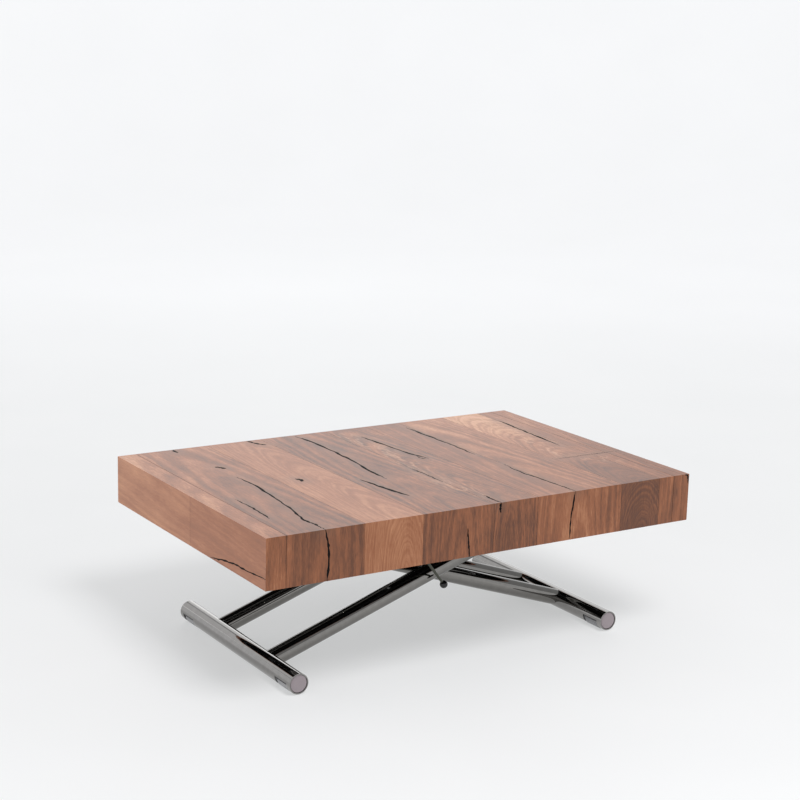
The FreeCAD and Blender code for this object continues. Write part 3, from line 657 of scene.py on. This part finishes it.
def addCrack(face, points, widest):
    line = crackLine(face, points)
    halfWidth = widest * crackShape["widen"][face] * mm / 2
    tip = crackShape["openTip"] if face == "front" or len(points) > 3 else crackShape["tip"]
    data = bpy.data.curves.new("crack", "CURVE")
    data.dimensions, data.use_fill_caps = "3D", True
    data.bevel_depth, data.bevel_resolution, data.resolution_u = halfWidth, 2, 2
    spline = data.splines.new("NURBS")
    spline.points.add(len(line) - 1)
    for index, (point, place) in enumerate(zip(spline.points, line)):
        point.co = (*place, 1)
        share = index / (len(line) - 1)
        opening = min(1.0, crackShape["taper"] * min(share, 1 - share) + crackShape["tip"])
        point.radius = max(opening, tip) * chance.uniform(*crackShape["widths"])
    spline.order_u = 2
    spline.use_endpoint_u = True
    crack = bpy.data.objects.new("crack", data)
    bpy.context.scene.collection.objects.link(crack)
    selectOnly(crack)
    bpy.ops.object.convert(target="MESH")
    crack = bpy.context.object
    bpy.ops.object.mode_set(mode="EDIT")
    bpy.ops.mesh.select_all(action="SELECT")
    flat = crackShape["rise"] / halfWidth
    squeeze = [flat if way else 1 for way in outward[face]]
    bpy.ops.transform.resize(value=squeeze, center_override=line[0])
    bpy.ops.mesh.normals_make_consistent(inside=False)
    bpy.ops.object.mode_set(mode="OBJECT")
    bpy.ops.object.shade_smooth()
    return crack, line


crackPieces, crackLines = {}, {}
for name, (face, body, lines) in cracks.items():
    made = [addCrack(face, points, widest) for points, widest in lines]
    crackPieces[name] = joinAs(name, [crack for crack, _ in made])
    crackLines[name] = [line for _, line in made]
    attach(crackPieces[name], body)
print("cracks filled:", sum(len(lines) for lines in crackLines.values()))


# pale veins of figure on the top: points in mm from the block's middle
veins = {
    "reach": 30 * mm,
    "lines": [
        ((30, 330), (27, 296), (40, 150), (25, 33), (10, -71), (0, -204), (15, -313)),
        ((467, 380), (465, 259), (453, 164), (429, 20), (436, -90)),
        ((475, -150), (515, -190)),
    ],
}
veinLines = [[facePoint("top", *point) for point in line] for line in veins["lines"]]


def nearness(place, lines, reach):
    nearest = 1.0
    for line in lines:
        for a, b in zip(line, line[1:]):
            spot, share = intersect_point_line(place, a, b)
            spot = a if share < 0 else b if share > 1 else spot
            nearest = min(nearest, (place - spot).length)
    return math.exp(-(nearest / reach) ** 2)


smokeLines = [line[::3] + line[-1:] for line in crackLines["topCracks"]]  # every third point is enough
for name, (made, body, replaced) in woodPieces.items():
    piece = joinAs(name, made)
    for kind in ("smoke", "veining"):
        piece.data.attributes.new(kind, "FLOAT", "POINT")
    smoke, veining = piece.data.attributes["smoke"].data, piece.data.attributes["veining"].data
    for index, vertex in enumerate(piece.data.vertices):
        smoke[index].value = nearness(vertex.co, smokeLines, crackShape["smokeReach"])
        veining[index].value = nearness(vertex.co, veinLines, veins["reach"])
    selectOnly(piece)
    bpy.ops.object.shade_smooth_by_angle(angle=math.radians(boards["smoothAngle"]))
    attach(piece, body)
    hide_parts(*replaced)
print("oak finished")


# black resin in the cracks, sunk and brushed with the wood: near black and dull
resin = {"colours": ("#060607", "#100F10"), "cloudMm": 6, "roughness": 0.7, "specular": 0.1}


def makeResin():
    material, tree, shader = startMaterial("blackResin")
    place = addNode(tree, "ShaderNodeTexCoord").outputs["Object"]
    cloud = addNode(tree, "ShaderNodeTexNoise", {
        "Vector": place, "Scale": 1 / (resin["cloudMm"] * mm), "Detail": 2.0}).outputs["Fac"]
    ramp = addNode(tree, "ShaderNodeValToRGB", {"Fac": cloud})
    setRamp(ramp, list(zip(noiseSpread, resin["colours"])))
    tree.links.new(ramp.outputs["Color"], shader.inputs["Base Color"])
    shader.inputs["Roughness"].default_value = resin["roughness"]
    shader.inputs["Specular IOR Level"].default_value = resin["specular"]
    return material


blackResin = makeResin()
for piece in crackPieces.values():
    dress(piece, blackResin)


# metals and plastics of the legs, the rollers and the works under the top
finishes = {
    # base colour at its darkest and lightest, metallic, roughness range, size of the mottle in mm
    "blackChrome": (("#918F8D", "#989694"), 1.0, (0.03, 0.06), 14),  # dark nickel plate: a tinted mirror
    "shadedLegChrome": (("#7E7C79", "#858380"), 1.0, (0.03, 0.06), 14),  # the same plate on the legs, drawn darker as painted shade: they mirror the shaded floor under the table
    "satinGreyPlastic": (("#978C90", "#A09599"), 0.0, (0.38, 0.46), 1.2),  # moulded caps: soft satin
    "greyNylon": (("#8C8C8E", "#98989A"), 0.0, (0.45, 0.55), 1.0),  # turned rollers and bushes: waxy
    "groundSteel": (("#B4B5B8", "#C2C3C6"), 1.0, (0.22, 0.32), 0.8),  # shafts and screws: soft glints
    "powderCoat": (("#1D1D1F", "#262628"), 0.0, (0.5, 0.62), 0.9),  # frame: fine black orange peel
    "zincSteel": (("#AEB2B6", "#C6C9CC"), 1.0, (0.28, 0.4), 6.0),  # rolled slides: cool, faintly spangled
    "hardChrome": (("#D5D6D8", "#DEDFE0"), 1.0, (0.04, 0.07), 9.0),  # gas spring rod: a bright mirror
    "darkOxide": (("#4A4B45", "#575850"), 1.0, (0.3, 0.42), 2.0),  # lever: oiled dark steel
    "blackPhenolic": (("#0B0B0C", "#121213"), 0.0, (0.12, 0.2), 3.0),  # ball knob: polished
    "paintedShadePine": (("#1A1715", "#26211D"), 0.0, (0.5, 0.62), 30.0),  # bearers under the panel, drawn near black as painted shade of the hollow under the top: dull
}
dullSpecular = {"powderCoat": 0.15, "paintedShadePine": 0.15}
slotFinish = {
    "black_chrome": "blackChrome", "plug_grey": "satinGreyPlastic", "roller_nylon": "greyNylon",
    "bright_steel": "groundSteel", "frame_black": "powderCoat", "zinc_steel": "zincSteel",
    "hard_chrome": "hardChrome", "lever_steel": "darkOxide", "knob_black": "blackPhenolic",
    "pale_softwood": "paintedShadePine",
}


def makeFinish(name):
    colours, metallic, (smooth, rough), mottleMm = finishes[name]
    material, tree, shader = startMaterial(name)
    place = addNode(tree, "ShaderNodeTexCoord").outputs["Object"]
    grain = addNode(tree, "ShaderNodeTexNoise", {
        "Vector": place, "Scale": 1 / (mottleMm * mm), "Detail": 3.0}).outputs["Fac"]
    ramp = addNode(tree, "ShaderNodeValToRGB", {"Fac": grain})
    setRamp(ramp, list(zip(noiseSpread, colours)))
    tree.links.new(ramp.outputs["Color"], shader.inputs["Base Color"])
    spread = addNode(tree, "ShaderNodeMapRange", {"Value": grain, "To Min": smooth, "To Max": rough})
    tree.links.new(spread.outputs[0], shader.inputs["Roughness"])
    shader.inputs["Metallic"].default_value = metallic
    if name in dullSpecular:
        shader.inputs["Specular IOR Level"].default_value = dullSpecular[name]
    return material


madeFinish = {name: makeFinish(name) for name in finishes}
slotOf = {entry["node"]: entry["material_slot"] for entry in frame["record"]["subparts"]}
bodies = frame["record"]["behaviour"]["bodies"]
bodyOf = {node: body for body, members in bodies.items() for node in members}

# plated tubes, drawn round and true so that the plating mirrors cleanly
tubes = {"corners": 128, "footWall": 2.5 * mm, "legWall": 2 * mm, "legStart": 10 * mm, "legTip": 26 * mm,
         "slotInset": 16 * mm, "slotLength": 56 * mm, "slotDrop": 2 * mm, "smoothAngle": 30}


def middleOf(node):
    return sum(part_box(node), Vector()) / 2


def addCopy(piece, shift=(0, 0, 0), turnAbout=None):
    # a second piece with a mesh of its own, half turned where a point is given
    selectOnly(piece)
    bpy.ops.object.duplicate()
    if turnAbout:
        bpy.ops.transform.rotate(value=math.pi, orient_axis="Z", center_override=turnAbout)
    bpy.ops.transform.translate(value=shift)
    bpy.ops.object.transform_apply(location=True, rotation=True, scale=True)
    return bpy.context.object


def addTube(start, end, radius, wall):
    run = end - start
    bpy.ops.object.select_all(action="DESELECT")
    bpy.ops.mesh.primitive_cylinder_add(
        vertices=tubes["corners"], radius=radius, depth=run.length, end_fill_type="NOTHING",
        location=(start + end) / 2, rotation=run.to_track_quat("Z", "Y").to_euler())
    tube = bpy.context.object
    bpy.ops.object.transform_apply(location=True, rotation=True, scale=True)
    applyModifier(tube, "SOLIDIFY", thickness=wall, offset=-1)
    return tube


def addFootTube(node):
    # a tube with the lower half open at both ends for the rollers
    low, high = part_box(node)
    middle, radius = (low + high) / 2, (high.z - low.z) / 2
    reach = Vector((0, (high.y - low.y) / 2, 0))
    tube = addTube(middle - reach, middle + reach, radius, tubes["footWall"])
    slotMiddle = high.y - tubes["slotInset"] - tubes["slotLength"] / 2
    for end in (-1, 1):
        bpy.ops.object.select_all(action="DESELECT")
        bpy.ops.mesh.primitive_cube_add(
            size=1, location=(middle.x, end * slotMiddle, middle.z - tubes["slotDrop"] - radius))
        cutter = bpy.context.object
        cutter.scale = (3 * radius, tubes["slotLength"], 2 * radius)
        bpy.ops.object.transform_apply(location=True, rotation=True, scale=True)
        applyModifier(tube, "BOOLEAN", object=cutter, operation="DIFFERENCE", solver="EXACT")
        bpy.data.objects.remove(cutter)
    return tube


def addLegTube(node, foot, upper):
    low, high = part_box(node)
    ends = [middleOf(foot), middleOf(upper)]
    for end in ends:
        end.y = (low.y + high.y) / 2
    along = (ends[1] - ends[0]).normalized()
    return addTube(ends[0] + along * tubes["legStart"], ends[1] + along * tubes["legTip"],
                   (high.y - low.y) / 2, tubes["legWall"])


def pieceName(node):
    first, *rest = node.split("_")
    return first + "".join(word.title() for word in rest)


def fitPiece(piece, name, node, finish):
    # name a finished piece, dress it, and put it in place of a node
    piece.name = piece.data.name = name
    dress(piece, madeFinish[finish])
    selectOnly(piece)
    bpy.ops.object.shade_smooth_by_angle(angle=math.radians(tubes["smoothAngle"]))
    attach(piece, bodyOf[node])
    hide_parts(node)


leftToRight = Vector((middleOf("right_foot_tube").x - middleOf("left_foot_tube").x, 0, 0))
tubePieces = {}
for side, upper in (("left", "pivot_shaft"), ("right", "track_axle")):
    foot, front, back = f"{side}_foot_tube", f"{side}_leg_front", f"{side}_leg_back"
    frontToBack = Vector((0, middleOf(back).y - middleOf(front).y, 0))
    if side == "left":
        tubePieces[foot] = addFootTube(foot)
    else:
        tubePieces[foot] = addCopy(tubePieces["left_foot_tube"], leftToRight)
    tubePieces[front] = addLegTube(front, foot, upper)
    tubePieces[back] = addCopy(tubePieces[front], frontToBack)
for node, tube in tubePieces.items():
    # legs get the darker plate as painted shade, the feet the plain one
    fitPiece(tube, pieceName(node), node, "shadedLegChrome" if "leg" in node.split("_") else "blackChrome")
print("tubes drawn")

# painted shade: black strips along the upper edges of the roller slots, where the slot's edge lies in
# shadow
slotShade = {"height": 3 * mm, "thick": 1.2 * mm, "proud": 0.25 * mm, "overlap": 0.6 * mm, "round": 0.3 * mm}


def addSlotShadeStrips(node):
    # one strip, copied to both edges of both slots
    low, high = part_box(node)
    middle, radius = (low + high) / 2, (high.z - low.z) / 2
    out = radius + slotShade["proud"] - slotShade["thick"] / 2
    slotMiddle = high.y - tubes["slotInset"] - tubes["slotLength"] / 2
    bpy.ops.object.select_all(action="DESELECT")
    bpy.ops.mesh.primitive_cube_add(size=1, location=(
        middle.x - out, -slotMiddle, middle.z - tubes["slotDrop"] + slotShade["height"] / 2 - slotShade["overlap"]))
    strip = bpy.context.object
    strip.scale = (slotShade["thick"], tubes["slotLength"], slotShade["height"])
    bpy.ops.object.transform_apply(location=True, rotation=True, scale=True)
    applyModifier(strip, "BEVEL", width=slotShade["round"], segments=2, limit_method="ANGLE")
    shifts = ((2 * out, 0, 0), (0, 2 * slotMiddle, 0), (2 * out, 2 * slotMiddle, 0))
    return [strip] + [addCopy(strip, shift) for shift in shifts]


leftSlotShade = joinAs("leftSlotShadeStrips", addSlotShadeStrips("left_foot_tube"))
rightSlotShade = joinAs("rightSlotShadeStrips", [addCopy(leftSlotShade, leftToRight)])
for side, strips in (("left", leftSlotShade), ("right", rightSlotShade)):
    dress(strips, madeFinish["blackPhenolic"])
    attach(strips, bodyOf[f"{side}_foot_tube"])

# moulded caps in the ends of the foot tubes: a domed disc inside a dark gap
cap = {"gap": 1.2 * mm, "sunk": 0.9 * mm, "depth": 9 * mm, "rim": 3.0 * mm, "crown": 1.3 * mm,
       "round": 0.9 * mm, "innerShare": 1 / 3, "corners": 96}


def addFrontCap(node):
    low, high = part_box(node)
    middle, radius = (low + high) / 2, (high.z - low.z) / 2 - cap["gap"]
    bpy.ops.object.select_all(action="DESELECT")
    bpy.ops.mesh.primitive_cylinder_add(
        vertices=cap["corners"], radius=radius, depth=cap["depth"],
        location=(middle.x, low.y + cap["sunk"] + cap["depth"] / 2, middle.z), rotation=(math.pi / 2, 0, 0))
    piece = bpy.context.object
    bpy.ops.object.transform_apply(location=True, rotation=True, scale=True)
    bpy.ops.object.mode_set(mode="EDIT")
    bpy.ops.mesh.select_all(action="DESELECT")
    bpy.ops.mesh.select_mode(type="FACE")
    bpy.ops.object.mode_set(mode="OBJECT")
    for face in piece.data.polygons:
        face.select = face.normal.y < -0.9
    bpy.ops.object.mode_set(mode="EDIT")
    bpy.ops.mesh.inset(thickness=cap["rim"])
    bpy.ops.transform.translate(value=(0, -cap["crown"], 0))
    bpy.ops.mesh.inset(thickness=radius * cap["innerShare"])
    bpy.ops.mesh.select_mode(type="VERT")
    bpy.ops.object.mode_set(mode="OBJECT")
    applyModifier(piece, "BEVEL", width=cap["round"], segments=3, limit_method="ANGLE")
    return piece


frontCap = addFrontCap("left_foot_plugs")
leftCaps = joinAs("leftFootCaps", [frontCap, addCopy(frontCap, turnAbout=middleOf("left_foot_plugs"))])
rightCaps = addCopy(leftCaps, leftToRight)
fitPiece(leftCaps, "leftFootCaps", "left_foot_plugs", "satinGreyPlastic")
fitPiece(rightCaps, "rightFootCaps", "right_foot_plugs", "satinGreyPlastic")
print("trims and caps fitted")

# turned and drawn pieces: merged copies of the nodes, smooth round their curves
turned = {
    "mergeWithin": 0.01 * mm,
    "nodes": ["left_rollers", "right_roller_front", "right_roller_back", "lever_rod", "lever_knob",
              "gas_cylinder", "gas_rod", "gas_rod_eye", "crossing_shaft", "pivot_shaft", "track_axle",
              "crossing_washers", "track_roller_front", "track_roller_back", "pivot_nuts", "lever_shaft"],
}


def addSmoothCopy(node):
    piece = nodes[node].copy()
    piece.data = nodes[node].data.copy()
    piece.parent = None
    bpy.context.scene.collection.objects.link(piece)
    selectOnly(piece)
    bpy.ops.object.mode_set(mode="EDIT")
    bpy.ops.mesh.select_all(action="SELECT")
    bpy.ops.mesh.remove_doubles(threshold=turned["mergeWithin"])
    bpy.ops.object.mode_set(mode="OBJECT")
    return piece


for node in turned["nodes"]:
    fitPiece(addSmoothCopy(node), pieceName(node), node, slotFinish[slotOf[node]])
print("turned pieces smoothed:", len(turned["nodes"]))

for entry in frame["record"]["subparts"]:
    node = nodes[entry["node"]]
    if not node.hide_render:
        dress(node, madeFinish[slotFinish[entry["material_slot"]]])
print("finishes given")
